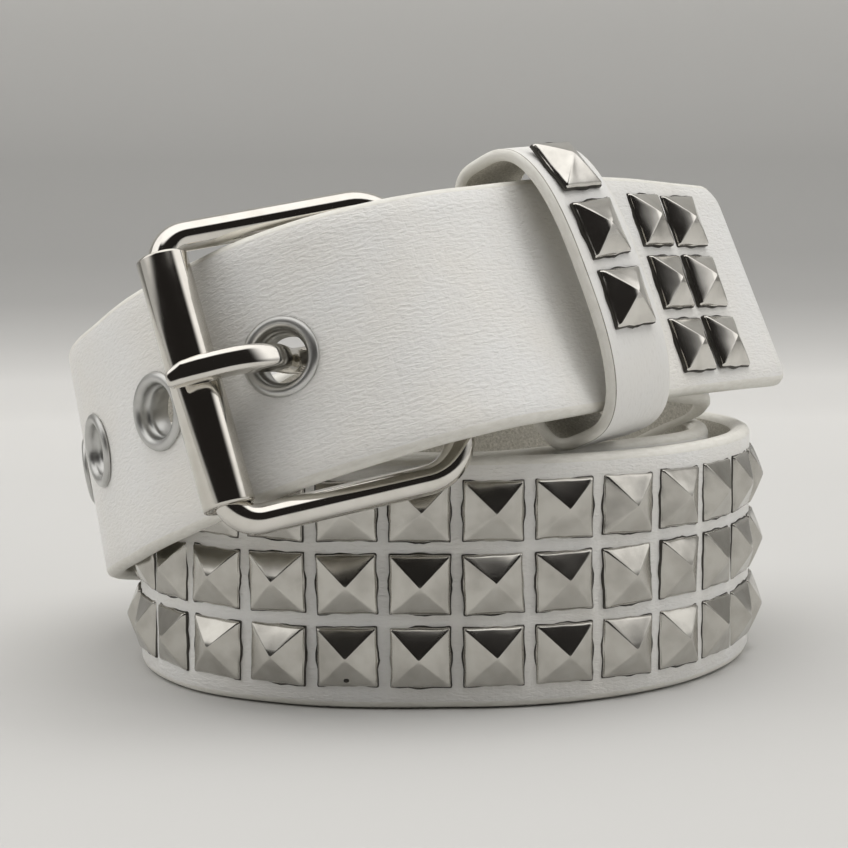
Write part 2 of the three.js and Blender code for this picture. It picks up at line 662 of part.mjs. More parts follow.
// The keeper's studs follow its outer face round towards the top.
function keeperStudMatrix(stud) {
  const round = new THREE.CatmullRomCurve3(loopPoints(KEEPER_THICKNESS), true);
  const distance = stud * KEEPER_STUD_PITCH - KEEPER_STUD_DROP;
  const share = (distance / round.getLength() + 1) % 1;
  const upward = round.getTangentAt(share);
  const sideways = new THREE.Vector3(0, 0, 1);
  const outward = new THREE.Vector3().crossVectors(sideways, upward);
  const point = round.getPointAt(share).addScaledVector(outward, CLEARANCE);
  return keeperMatrix.clone().multiply(basis(upward, outward, sideways, point));
}

// Pieces

const leather = { color: 0xf1efea, roughness: 0.5, metalness: 0 };
const nickel = { color: 0xc9c8c4, roughness: 0.22, metalness: 1 };
const chrome = { color: 0xd8d7d3, roughness: 0.08, metalness: 1 };
const satin = { color: 0xd2d3d1, roughness: 0.3, metalness: 1 };

const belt = new THREE.Group();

function piece(name, geometry, finish, matrix) {
  const mesh = new THREE.Mesh(geometry, new THREE.MeshStandardMaterial(finish));
  mesh.name = name;
  if (matrix) mesh.applyMatrix4(matrix);
  belt.add(mesh);
}

piece('belt_strap', geometryOf(strapWithStuds()), leather);
piece('buckle_frame', frameGeometry(), chrome);
piece('buckle_roller', rollerGeometry(), chrome);
piece('buckle_prong', prongGeometry(), chrome);
piece('keeper_loop', keeperGeometry(), leather);
for (let stud = 0; stud < KEEPER_STUDS; stud += 1) {
  piece(`keeper_stud_${stud + 1}`, studGeometry(0), nickel, keeperStudMatrix(stud));
}
for (let column = 0; column < TIP_STUD_COLUMNS; column += 1) {
  for (let row = 0; row < STUD_ROWS; row += 1) {
    const place = bedMatrix(tipColumns[column], studBed, rowOffset(row))
      .multiply(new THREE.Matrix4().makeTranslation(0, CLEARANCE, 0));
    piece(`tip_stud_${column + 1}_${row + 1}`, studGeometry(0), nickel, place);
  }
}
holeLengths.forEach((length, hole) => {
  piece(`eyelet_${hole + 1}`, eyeletGeometry(), satin, bedMatrix(length, eyeletBed));
});

// The origin is the middle of the belt's outline on the floor.
const outline = new THREE.Box3().setFromObject(belt, true);
const middle = outline.getCenter(new THREE.Vector3());
belt.position.set(-middle.x, -middle.y, -outline.min.z);

export default belt;
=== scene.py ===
# %% [markdown]
# # A white studded belt, rolled up and buckled
# The belt is one strip of coated leather, three rows of pressed nickel studs, five eyelets and a roller buckle.
# The CAD part gives its true sizes. This lesson dresses that part until it looks like the photograph.

# %% Load the frame
import math

import bpy
import numpy as np
from mathutils import Euler, Matrix, Vector


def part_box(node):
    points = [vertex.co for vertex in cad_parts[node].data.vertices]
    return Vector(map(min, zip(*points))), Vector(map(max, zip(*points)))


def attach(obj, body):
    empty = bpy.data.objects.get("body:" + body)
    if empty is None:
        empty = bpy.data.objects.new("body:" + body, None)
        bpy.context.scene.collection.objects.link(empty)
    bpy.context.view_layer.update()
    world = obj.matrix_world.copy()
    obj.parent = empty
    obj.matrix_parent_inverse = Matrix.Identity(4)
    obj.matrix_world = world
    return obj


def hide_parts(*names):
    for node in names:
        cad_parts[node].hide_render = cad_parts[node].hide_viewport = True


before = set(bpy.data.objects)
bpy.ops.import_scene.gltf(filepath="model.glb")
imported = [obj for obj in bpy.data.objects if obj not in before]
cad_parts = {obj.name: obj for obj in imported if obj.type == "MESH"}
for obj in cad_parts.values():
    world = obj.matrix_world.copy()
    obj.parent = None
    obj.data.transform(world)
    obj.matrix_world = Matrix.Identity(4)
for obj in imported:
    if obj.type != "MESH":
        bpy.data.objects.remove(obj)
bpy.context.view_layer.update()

# %% [markdown]
# ## Measures of the strap and its studs
# A belt maker works from a short list: width and thickness of the strap, the pitch of the studs, the place of
# the holes. The numbers are in millimetres, and they are the ones that the CAD part was made with.

# %% Strap and studs
MM = 1000
STRAP_WIDTH, STRAP_THICKNESS = 38, 3.2
COIL_RADIUS, LAYER_GAP, CLEARANCE = 50, 0.45, 0.3
STUD_SIZE, STUD_HEIGHT, STUD_BED = 9, 2.7, 0.25
STUD_PITCH, STUD_ROWS, TIP_COLUMNS = 11, 3, 2
TIP_TO_STUD, BUCKLE_TO_STUDS, STUDS_TO_HOLES = 14.5, 96, 16
HOLE_COUNT, HOLE_PITCH, TIP_TO_HOLE = 5, 24.9, 108.3
TIP_CORNER, TIP_LOWER_CORNER, EDGE_ROUND = 3.5, 1.3, 1.15
print("strap", STRAP_WIDTH, "mm wide, studs every", STUD_PITCH, "mm")

# %% [markdown]
# ## Measures of the fittings
# Wire, roller, prong and eyelets are bought parts. The keeper is a band with some room round the strap. The
# fold is the end of the strap that goes round the buckle's bar, and the slot in it lets the prong through.

# %% Eyelets, buckle and keeper
EYELET_OUTER, EYELET_BORE, EYELET_WALL, EYELET_RIM = 12, 7.2, 0.6, 0.8
WIRE_DIAMETER, FRONT_CORNER, FRONT_BEND, REAR_CORNER = 4.5, 2.6, 4.2, 7
ROLLER_DIAMETER, ROLLER_CLEARANCE, FRAME_CLEARANCE = 7.6, 1.2, 0.5
ROLLER_BEFORE_HOLE, BAR_AFTER_HOLE = 10.9, 27.7
PRONG_DIAMETER, PRONG_EYE, PRONG_EYE_WIDTH, PRONG_OVERHANG = 3.8, 2.4, 4.6, 5
FOLD_LENGTH, FOLD_WIDTH, FOLD_SHOULDER, FOLD_CLOSE_UP = 26, 31.4, 60, 16
SLOT_WIDTH, SLOT_REACH, SLOT_SPARE = 6.4, 8, 0.3
KEEPER_BAND, KEEPER_THICKNESS, KEEPER_FROM_TIP, KEEPER_TWIST = 15, 1.9, 53.5, 6
KEEPER_ROOM, KEEPER_LIFT, KEEPER_SLACK, KEEPER_SHAPES = 2.8, 0.9, 1.65, (2.7, 4)
KEEPER_STUDS, KEEPER_STUD_PITCH, KEEPER_STUD_DROP = 3, 11.3, 5
print("wire", WIRE_DIAMETER, "mm, eyelets with a bore of", EYELET_BORE, "mm")

# %% [markdown]
# ## The way the strap lies
# Each row says where the strap is at one turn round the coil, in degrees: how far out it stands, how many
# studded layers lie outside it, how high its middle is and how far its top leans in. Leather bends smoothly, so
# few rows are enough, and the curve between them comes from a cubic.

# %% The rows
WAY = np.array([
    (84, .982, 2, 1.58, 21.5), (96, 1.0, 2, 1.515, 18), (110, .982, 2, 1.43, 10), (140, .97, 2, 1.24, 3),
    (190, .995, 2, .93, 0), (250, 1.06, 2, .62, 0), (300, 1.115, 2, .5, 0), (345, 1.12, 2, .5, 0),
    (366, .975, 1, .5, 0), (384, .893, 1, .5, 0), (404, .885, 1, .5, 0), (436, .97, 1, .5, 0),
    (456, 1.0, 1, .5, 0), (540, 1.045, 1, .5, 0), (610, 1.13, 1, .5, 0), (650, 1.225, 1, .5, 0),
    (668, 1.238, 1, .5, 0), (690, 1.055, 0, .5, 0), (720, .97, 0, .5, 0), (775, .972, 0, .5, 0),
    (796, .985, 0, .5, 0), (814, 1.012, 0, .5, 0), (860, 1.045, 0, .5, 0), (900, 1.105, 0, .5, 0),
    (940, 1.185, 0, .575, -5), (975, 1.245, 0, .72, -9.5), (998, 1.25, 0, .85, -9), (1016, 1.248, 0, .99, -5.5),
    (1032, 1.267, 0, 1.15, -.5), (1046, 1.269, 0, 1.31, 6.5), (1060, 1.226, 0, 1.46, 16.5),
    (1072, 1.125, 0, 1.555, 24), (1082, 1.013, 0, 1.6, 26), (1092, .909, 0, 1.62, 25.5),
    (1104, .809, 0, 1.633, 23.5), (1118, .731, 0, 1.641, 22), (1134, .697, 0, 1.645, 21),
    (1150, .723, 0, 1.645, 21.5), (1164, .809, 0, 1.64, 23), (1173, .915, 0, 1.635, 24.5),
    (1181, 1.075, 0, 1.63, 26), (1190, 1.374, 0, 1.63, 27)], float)
UNDER_TIP = (12, 24, 38, 54, 70)
HOLE_TURN, TURNS_ON_TOP, BEFORE_BAR = 1055.3, 1080, 6
STUD_LAYER = STRAP_THICKNESS + STUD_HEIGHT + LAYER_GAP
PLAIN_LAYER = STRAP_THICKNESS + LAYER_GAP
print(len(WAY), "rows from", WAY[0, 0], "to", WAY[-1, 0], "degrees")

# %% [markdown]
# ## A curve through the rows
# The cubic never swings past its rows, so the coil has no waves that nobody asked for. Where the rows turn
# back, the curve is level.

# %% Curve through the rows
def smooth(table, column, turn):
    last = len(table) - 2
    after = np.searchsorted(table[:, 0], turn, side="right")
    at = min(max(after - 1, 0), last)

    def rise(row):
        return (table[row + 1, column] - table[row, column]) / (table[row + 1, 0] - table[row, 0])

    def slope(row):
        if row == 0:
            return rise(0)
        if row == len(table) - 1:
            return rise(row - 1)
        before, behind = rise(row - 1), rise(row)
        if before * behind <= 0:
            return 0
        wide, narrow = table[row + 1, 0] - table[row, 0], table[row, 0] - table[row - 1, 0]
        middle = (before * wide + behind * narrow) / (wide + narrow)
        return math.copysign(min(abs(middle), 3 * min(abs(before), abs(behind))), middle)

    span = table[at + 1, 0] - table[at, 0]
    t = (turn - table[at, 0]) / span
    return (table[at, column] * (1 + 2 * t) * (1 - t) ** 2 + table[at + 1, column] * t * t * (3 - 2 * t)
            + slope(at) * span * t * (1 - t) ** 2 - slope(at + 1) * span * t * t * (1 - t))


print("at the hole in use the strap leans", round(smooth(WAY, 4, HOLE_TURN), 1), "degrees")

# %% [markdown]
# ## Places and directions on the strap
# At each turn the strap has three directions: along it, across it and out of its face. The length along it is
# the sum of small steps, and a look-up gives the turn for a length or the length for a turn.

# %% Places, directions and lengths
def unit(vector):
    return vector / np.linalg.norm(vector)


def point_at(table, turn):
    radius, angle = smooth(table, 1, turn), math.radians(turn)
    return np.array([radius * math.sin(angle), -radius * math.cos(angle), smooth(table, 2, turn)])


def frame_at(table, turn, step=0.2):
    along = unit(point_at(table, turn + step) - point_at(table, turn - step))
    level = unit(np.cross(along, (0, 0, 1)))
    upright = np.cross(level, along)
    lean = math.radians(smooth(table, 3, turn))
    across = upright * math.cos(lean) - level * math.sin(lean)
    return point_at(table, turn), along, across, level * math.cos(lean) + upright * math.sin(lean)


def measure(table, first, last, step=0.5):
    turns = np.arange(first, last + step, step)
    points = np.array([point_at(table, turn) for turn in turns])
    lengths = np.concatenate([[0], np.cumsum(np.linalg.norm(np.diff(points, axis=0), axis=1))])
    return (lambda turn: float(np.interp(turn, turns, lengths)),
            lambda gone: float(np.interp(gone, lengths, turns)))


outer = np.column_stack([WAY[:, 0], WAY[:, 1] * COIL_RADIUS - WAY[:, 2] * STUD_LAYER,
                         WAY[:, 3] * STRAP_WIDTH, WAY[:, 4]])
outer_length, outer_turn = measure(outer, WAY[0, 0], WAY[-1, 0])
over_bar = outer_turn(outer_length(HOLE_TURN) + BAR_AFTER_HOLE) - TURNS_ON_TOP
print("the rows hold", round(outer_length(WAY[-1, 0])), "mm of strap")

# %% [markdown]
# ## The buckle end
# The two ends of a fastened belt lie flat on each other, so the buckle end takes its place from the tip end
# that covers it. The bar and the roller of the buckle are parallel and share one direction across the strap.

# %% Rows of the buckle end
def row_under(turn):
    face, _, _, out = frame_at(outer, turn + TURNS_ON_TOP)
    point = face - out * PLAIN_LAYER
    return (math.degrees(math.atan2(point[0], -point[1])), math.hypot(point[0], point[1]), point[2],
            smooth(outer, 3, turn + TURNS_ON_TOP))


rows = np.vstack([[row_under(turn) for turn in (over_bar - BEFORE_BAR, *UNDER_TIP)], outer])
bar_turn = row_under(over_bar)[0]
run_length, run_turn = measure(rows, bar_turn, WAY[-1, 0])
hole_length = run_length(HOLE_TURN)
tip_length = hole_length + TIP_TO_HOLE
roller_face, _, roller_across, roller_out = frame_at(rows, run_turn(hole_length - ROLLER_BEFORE_HOLE))
frame_across = unit(frame_at(rows, bar_turn)[2] + roller_across)


def ease(value, low, high):
    share = min(max((value - low) / (high - low), 0), 1)
    return share * share * (3 - 2 * share)


def strap_at(length):
    face, along, across, _ = frame_at(rows, run_turn(length))
    across = frame_across + (across - frame_across) * ease(length, 0, FOLD_LENGTH)
    across = unit(across - along * np.dot(along, across))
    return face, along, across, np.cross(along, across)


print("strap is", round(tip_length), "mm long from the bar to its tip")

# %% [markdown]
# ## Where things sit along the strap
# Holes are measured from the tip, because that is how a belt is punched. The stud columns then fill the room
# between the last hole and the buckle. A stud presses the leather flat, so its place is the chord between the
# two ends of its bed.

# %% Columns, holes and beds
hole_lengths = [hole_length - hole * HOLE_PITCH for hole in range(HOLE_COUNT)]
tip_columns = [tip_length - TIP_TO_STUD - (TIP_COLUMNS - 1 - column) * STUD_PITCH
               for column in range(TIP_COLUMNS)]
last_column = hole_lengths[-1] - STUDS_TO_HOLES
column_count = math.floor((last_column - BUCKLE_TO_STUDS) / STUD_PITCH) + 1
columns = [last_column - (column_count - 1 - column) * STUD_PITCH for column in range(column_count)]
row_offsets = [((STUD_ROWS - 1) / 2 - row) * STUD_PITCH for row in range(STUD_ROWS)]
STUD_HALF_BED = STUD_SIZE / 2 + STUD_BED
EYELET_HALF_BED = EYELET_OUTER / 2 + STUD_BED


def basis(x, y, z, point):
    matrix = np.eye(4)
    matrix[:3, 0], matrix[:3, 1], matrix[:3, 2], matrix[:3, 3] = x, y, z, point
    return matrix


def bed(length, half, sideways=0.0):
    before, after = strap_at(length - half), strap_at(length + half)
    along = unit(after[0] - before[0])
    out = unit(np.cross(along, unit(before[2] + after[2])))
    side = np.cross(out, along)
    return basis(along, out, -side, (before[0] + after[0]) / 2 + side * sideways)


def placed(matrix, points):
    return np.asarray(points, float) @ matrix[:3, :3].T + matrix[:3, 3]


print(column_count, "columns of studs round the belt")

# %% [markdown]
# ## The buckle's place
# The roller rests on the strap a little before the hole in use, and the bar sits inside the fold of the strap.
# The middle of the CAD roller ties these millimetres to the shared frame in metres.

# %% Buckle frame and shift
bar_radius = WIRE_DIAMETER / 2
wrap_radius = bar_radius + CLEARANCE + STRAP_THICKNESS
start_face, start_along, _, _ = strap_at(0)
start_out = unit(np.cross(start_along, frame_across))
start_along = np.cross(frame_across, start_out)
bar = start_face - start_out * wrap_radius
roller_radius = ROLLER_DIAMETER / 2
roller = roller_face + roller_out * (roller_radius + ROLLER_CLEARANCE)
roller = roller + frame_across * np.dot(bar - roller, frame_across)
frame_reach = float(np.linalg.norm(bar - roller))
frame_along = (bar - roller) / frame_reach
frame_out = unit(np.cross(frame_along, frame_across))
buckle = basis(frame_along, frame_across, frame_out, roller)
frame_half = STRAP_WIDTH / 2 + FRAME_CLEARANCE + bar_radius
low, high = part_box("buckle_roller")
SHIFT = (np.array(low) + np.array(high)) / 2 * MM - roller
print("shift of the coil in mm:", SHIFT.round(2))

# %% [markdown]
# ## One helper that makes a skin
# Nearly every piece is a row of rings with faces between them: strap, wire, tube, band. Each face takes its
# material from the side of the ring that it lies on, and each point keeps two numbers that say where on the
# leather it is, in centimetres along and across.

# %% Skin helper
def skin(name, rings, finishes, side_finish=None, closed=False, spots=None):
    rings = np.asarray(rings, float)
    count, sides = rings.shape[:2]
    points = (rings.reshape(-1, 3) + SHIFT) / MM
    faces, picks = [], []
    for band in range(count if closed else count - 1):
        here, there = band * sides, ((band + 1) % count) * sides
        for side in range(sides):
            following = (side + 1) % sides
            faces.append((here + side, here + following, there + following, there + side))
            picks.append(side_finish[side] if side_finish is not None else 0)
    if not closed:
        faces.append(tuple(range(sides))[::-1])
        faces.append(tuple(range((count - 1) * sides, count * sides)))
        picks += [max(picks)] * 2
    return mesh_piece(name, points.tolist(), faces, finishes, picks, spots)


def mesh_piece(name, points, faces, finishes, picks, spots=None):
    data = bpy.data.meshes.new(name)
    data.from_pydata(points, [], faces)
    for finish in finishes:
        data.materials.append(finish)
    data.polygons.foreach_set("material_index", picks)
    data.polygons.foreach_set("use_smooth", [True] * len(faces))
    if spots is not None:
        layer = data.uv_layers.new(name="leather")
        corner = np.empty(len(data.loops), int)
        data.loops.foreach_get("vertex_index", corner)
        layer.data.foreach_set("uv", np.asarray(spots, float).reshape(-1, 2)[corner].ravel())
    data.update()
    thing = bpy.data.objects.new(name, data)
    bpy.context.scene.collection.objects.link(thing)
    return thing


def dress(thing, slot, *nodes):
    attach(thing, "root")
    if nodes:
        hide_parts(*nodes)
    print(thing.name, "has", len(thing.data.polygons), "faces")


print("skin helper ready")

# %% [markdown]
# ## A helper for finishes
# A finish is a small graph of nodes. This helper adds one node, sets its values by name and joins its inputs,
# so that each recipe below reads from top to bottom. The mixing node keeps its two colours in sockets 6 and 7
# and gives the mixed colour in socket 2.

# %% Node helper
def new_finish(name):
    finish = bpy.data.materials.new(name)
    finish.use_nodes = True
    return finish, finish.node_tree, finish.node_tree.nodes["Principled BSDF"]


def feed(tree, socket, value):
    if isinstance(value, bpy.types.NodeSocket):
        tree.links.new(value, socket)
    else:
        socket.default_value = value


def node(tree, kind, values=None, **settings):
    made = tree.nodes.new("ShaderNode" + kind)
    for key, value in settings.items():
        setattr(made, key, value)
    for key, value in (values or {}).items():
        feed(tree, made.inputs[key], value)
    return made


def stretched(tree, source, scale):
    return node(tree, "Mapping", {"Vector": source, "Scale": scale}).outputs["Vector"]


def noise(tree, where, scale, detail=3.0, roughness=0.5, distortion=0.0):
    values = {"Vector": where, "Scale": scale, "Detail": detail, "Roughness": roughness,
              "Distortion": distortion}
    return node(tree, "TexNoise", values).outputs["Fac"]


def between(tree, value, low, high, first, last):
    values = {"Value": value, "From Min": low, "From Max": high, "To Min": first, "To Max": last}
    return node(tree, "MapRange", values).outputs["Result"]


def blend(tree, share, first, second):
    made = node(tree, "Mix", data_type="RGBA")
    colours = made.inputs[0], made.inputs[6], made.inputs[7]
    for socket, value in zip(colours, (share, first, second)):
        feed(tree, socket, value)
    return made.outputs[2]


def bumped(tree, height, strength, distance, before=None):
    values = {"Height": height, "Strength": strength, "Distance": distance}
    if before is not None:
        values["Normal"] = before
    return node(tree, "Bump", values).outputs["Normal"]


print("node helper ready")

# %% [markdown]
# ## White coated leather
# The strap is split leather with a thin white film rolled on. The film has a fine grain that runs along the
# strap in short waves, faint pores, and folds across it where the leather was bent. It is never quite one
# white: it warms a little where the film is thin. The keeper was cut from a smoother piece.

# %% Leather finish
# The second grey is painted shade, mixed into the troughs of the grain below.
FILM_WHITE, CREASE_SHADE_GREY = (0.79, 0.785, 0.765, 1), (0.62, 0.60, 0.56, 1)


def leather_finish(name, warm, grain_strength, fold_strength):
    finish, tree, shader = new_finish(name)
    spot = node(tree, "UVMap", uv_map="leather").outputs["UV"]
    waves = noise(tree, stretched(tree, spot, (8.0, 23, 1)), 1.0, 2.0, 0.5, 0.5)
    pores = noise(tree, spot, 46, 2, 0.6)
    folds = noise(tree, stretched(tree, spot, (13, 1.1, 1)), 1.0, 2, 0.5, 0.5)
    patches = noise(tree, spot, 0.55, 2)
    tone = blend(tree, between(tree, patches, 0.35, 0.7, 0, 1), FILM_WHITE, warm)
    # Painted shade: the colour turns grey in the troughs of the grain waves, where shade falls in the creases.
    crease_shade = between(tree, waves, 0.28, 0.44, 0.22, 0)
    feed(tree, shader.inputs["Base Color"], blend(tree, crease_shade, tone, CREASE_SHADE_GREY))
    feed(tree, shader.inputs["Roughness"], between(tree, waves, 0.3, 0.7, 0.52, 0.38))
    relief = bumped(tree, waves, grain_strength, 0.00016)
    relief = bumped(tree, folds, fold_strength, 0.0002, relief)
    relief = bumped(tree, pores, 0.08, 0.00008, relief)
    feed(tree, shader.inputs["Normal"], relief)
    feed(tree, shader.inputs["IOR"], 1.5)
    return finish


strap_leather = leather_finish("strap_leather", (0.79, 0.77, 0.725, 1), 1.0, 0.20)
keeper_leather = leather_finish("keeper_leather", (0.79, 0.775, 0.74, 1), 0.3, 0.08)
print("leather finishes ready")

# %% [markdown]
# ## Painted edge and raw back
# A cut edge is sanded round and painted. The paint is creamier than the film and lies a little uneven. The
# back is split leather: matt, grey beige and fuzzy.

# %% Edge and back finishes
def edge_finish(name, colour, dark):
    finish, tree, shader = new_finish(name)
    spot = node(tree, "UVMap", uv_map="leather").outputs["UV"]
    uneven = noise(tree, stretched(tree, spot, (2.2, 9, 1)), 2.0, 4, 0.6)
    tone = blend(tree, between(tree, uneven, 0.38, 0.62, 0, 1), dark, colour)
    feed(tree, shader.inputs["Base Color"], tone)
    feed(tree, shader.inputs["Roughness"], 0.46)
    feed(tree, shader.inputs["Normal"], bumped(tree, uneven, 0.3, 0.0003))
    return finish


def back_finish():
    finish, tree, shader = new_finish("split_leather_back")
    spot = node(tree, "UVMap", uv_map="leather").outputs["UV"]
    nap = noise(tree, spot, 21, 6, 0.7, 0.6)
    share = between(tree, nap, 0.35, 0.65, 0, 1)
    feed(tree, shader.inputs["Base Color"], blend(tree, share, (0.42, 0.40, 0.34, 1), (0.72, 0.69, 0.62, 1)))
    feed(tree, shader.inputs["Roughness"], 0.95)
    feed(tree, shader.inputs["Normal"], bumped(tree, nap, 0.7, 0.0006))
    return finish


edge_paint = edge_finish("edge_paint", (0.80, 0.785, 0.73, 1), (0.73, 0.71, 0.65, 1))
edge_line = edge_finish("edge_line", (0.33, 0.31, 0.26, 1), (0.20, 0.18, 0.15, 1))
split_back = back_finish()
print("edge and back finishes ready")

# %% [markdown]
# ## Bright metals
# Studs are pressed from nickelled sheet: bright, a little warm, never perfectly flat, so reflections swim. The
# studs at the tip and on the keeper get a brighter copy of the nickel, painted light for the extra light they
# catch, and the rim that sinks into the leather is painted near-black as painted shade in the gap there. The
# buckle is polished harder. The eyelets are tumbled, which leaves them satin.

# %% Metal finishes
def metal_finish(name, colour, dull, rough, swim, swim_scale):
    finish, tree, shader = new_finish(name)
    place = node(tree, "TexCoord").outputs["Object"]
    cloud = noise(tree, place, 260, 3)
    wave = noise(tree, place, swim_scale, 0.5)
    tone = blend(tree, between(tree, cloud, 0.4, 0.75, 0, 1), (*colour, 1), (*dull, 1))
    feed(tree, shader.inputs["Base Color"], tone)
    feed(tree, shader.inputs["Roughness"], between(tree, cloud, 0.3, 0.7, *rough))
    feed(tree, shader.inputs["Metallic"], 1)
    feed(tree, shader.inputs["Normal"], bumped(tree, wave, swim, 0.0004))
    return finish


stud_nickel = metal_finish("stud_nickel", (0.55, 0.535, 0.495), (0.44, 0.425, 0.39), (0.17, 0.25), 0.60, 190)
# Painted light: a brighter copy of the stud nickel for the studs at the tip and on the keeper, standing in for
# the extra light they catch.
lit_nickel_painted_light = metal_finish("lit_nickel_painted_light", (0.74, 0.72, 0.675), (0.60, 0.58, 0.54), (0.13, 0.20), 0.60, 190)
# Painted shade: near-black metal for the lowest bands of each stud, standing in for the shadow in the gap where
# the stud meets the leather. The speck's dark flaw uses it too.
stud_foot = metal_finish("stud_foot", (0.10, 0.095, 0.085), (0.05, 0.045, 0.04), (0.4, 0.6), 0.2, 330)
buckle_nickel = metal_finish("buckle_nickel", (0.76, 0.735, 0.69), (0.68, 0.655, 0.60), (0.06, 0.11),
                             0.12, 140)
roller_nickel = metal_finish("roller_nickel", (0.70, 0.675, 0.625), (0.62, 0.595, 0.54), (0.06, 0.12),
                             0.10, 110)
eyelet_satin = metal_finish("eyelet_satin", (0.60, 0.60, 0.585), (0.52, 0.52, 0.50), (0.32, 0.42), 0.2, 240)
print("metal finishes ready")

# %% [markdown]
# ## The shape of a cut through leather
# A strip cut from a hide has two flat faces and two edges that were rounded on a wheel. The same cut serves
# the strap and the keeper, which differ in width and thickness. The keeper also has a thin dark line where its
# film ends.

# %% Cut through a strip
FACE, EDGE, LINE, BACK = range(4)


def strip_cut(half, thick, radius, face_steps=14, round_steps=5, line=0.0):
    inner = half - radius

    def rounded(side):
        turns = [math.pi * step / round_steps for step in range(1, round_steps)]
        return [(side * (inner + radius * math.sin(turn)), thick / 2 + side * thick / 2 * math.cos(turn), EDGE)
                for turn in turns]

    back_steps = face_steps // 2
    cut = [(inner - 2 * inner * step / face_steps, 0, FACE) for step in range(face_steps)]
    cut.append((-inner, 0, LINE if line else EDGE))
    if line:
        cut.append((-inner - line, line * line / radius / 2, EDGE))
    cut += rounded(-1)
    cut += [(-inner + 2 * inner * step / back_steps, thick, BACK) for step in range(back_steps)]
    cut.append((inner, thick, EDGE))
    cut += rounded(1)
    return np.array([point[:2] for point in cut]), [point[2] for point in cut]


def leather_spots(gone, section, thick):
    return [(gone / 10, x / 10 + (4 if depth > thick / 2 else 0)) for x, depth in section]


print("a cut has", len(strip_cut(STRAP_WIDTH / 2, STRAP_THICKNESS, EDGE_ROUND)[1]), "sides")

# %% [markdown]
# ## Stations along the strap
# The strip starts behind the bar, goes round it, runs three turns round the coil and ends in a tip with small
# round corners. A station holds the length gone, the place of the face, and the directions across and out.
# Lengths before the bar's middle count below nought.

# %% Stations
FOLD_STEP, FOLD_BENDS, STRAP_STEP, TIP_STEPS = 1.5, 14, 1.2, 6


def station(length):
    face, _, across, out = strap_at(length)
    return length, face, across, out


def fold_stations(reach, bends=FOLD_BENDS):
    stations = []
    steps = math.ceil(reach / FOLD_STEP)
    closed = 2 * STRAP_THICKNESS + CLEARANCE
    for step in range(steps, 0, -1):
        length, face, across, out = station(reach * step / steps)
        depth = 2 * wrap_radius + (closed - 2 * wrap_radius) * ease(length, 0, FOLD_CLOSE_UP)
        stations.append((-length, face - out * depth, across, -out))
    for bend in range(bends):
        angle = math.pi * (1 - bend / bends)
        out = start_out * math.cos(angle) - start_along * math.sin(angle)
        stations.append((-bend / bends, bar + out * wrap_radius, frame_across, out))
    return stations


run = np.linspace(0, tip_length - TIP_CORNER, round(tip_length / STRAP_STEP))
tip_turns = np.linspace(0, math.pi / 2, TIP_STEPS + 1)[1:]
tip = [tip_length - TIP_CORNER * (1 - math.sin(turn)) for turn in tip_turns]
strap_stations = fold_stations(FOLD_LENGTH) + [station(length) for length in (*run, *tip)]
print(len(strap_stations), "stations along the strap")

# %% [markdown]
# ## The strap
# It is cut narrower near the bar, as on a real belt, so that it clears the buckle's corners. The tip's upper
# corner is rounder than the lower one.

# %% Strap
def tip_half(length, corner):
    into = max(0, 1 - (tip_length - length) / corner)
    return STRAP_WIDTH / 2 - corner * (1 - math.sqrt(max(0, 1 - into * into)))


def strap_half(length):
    if length > tip_length - TIP_CORNER:
        return tip_half(length, TIP_CORNER)
    return (FOLD_WIDTH + (STRAP_WIDTH - FOLD_WIDTH) * ease(abs(length), 0, FOLD_SHOULDER)) / 2


rings, spots = [], []
for length, face, across, out in strap_stations:
    section, kinds = strip_cut(strap_half(length), STRAP_THICKNESS, EDGE_ROUND)
    lower_share = tip_half(length, TIP_LOWER_CORNER) / tip_half(length, TIP_CORNER)
    section[:, 0] *= np.where(section[:, 0] < 0, lower_share, 1)
    rings.append([face + across * x - out * depth for x, depth in section])
    spots.append(leather_spots(length, section, STRAP_THICKNESS))
strap = skin("strap", rings, [strap_leather, edge_paint, edge_line, split_back], kinds, spots=spots)
print("strap skinned with", len(rings), "rings")

# %% [markdown]
# ## Punching the strap
# Holes are punched before the eyelets are set, and a slot is cut along the fold so that the prong can swing.
# A plain cylinder or bar is taken away from the strip at each place.

# %% Holes and slot
PUNCH_SIDES, SLOT_BENDS = 40, 11


def lathe(name, profile, matrix, finishes, sides, closed=True):
    turns = [2 * math.pi * side / sides for side in range(sides)]
    rings = [placed(matrix, [(radius * math.sin(turn), height, radius * math.cos(turn)) for turn in turns])
             for radius, height in profile]
    return skin(name, rings, finishes, closed=closed)


def take_away(thing, cutter):
    modifier = thing.modifiers.new("cut", "BOOLEAN")
    modifier.operation, modifier.solver, modifier.object = "DIFFERENCE", "EXACT", cutter
    graph = bpy.context.evaluated_depsgraph_get()
    data = bpy.data.meshes.new_from_object(thing.evaluated_get(graph))
    thing.modifiers.clear()
    thing.data = data
    bpy.data.objects.remove(cutter)


def slot_ring(face, across, out):
    under = -STRAP_THICKNESS - SLOT_SPARE
    corners = ((1, SLOT_SPARE), (-1, SLOT_SPARE), (-1, under), (1, under))
    return [face + across * side * SLOT_WIDTH / 2 + out * lift for side, lift in corners]


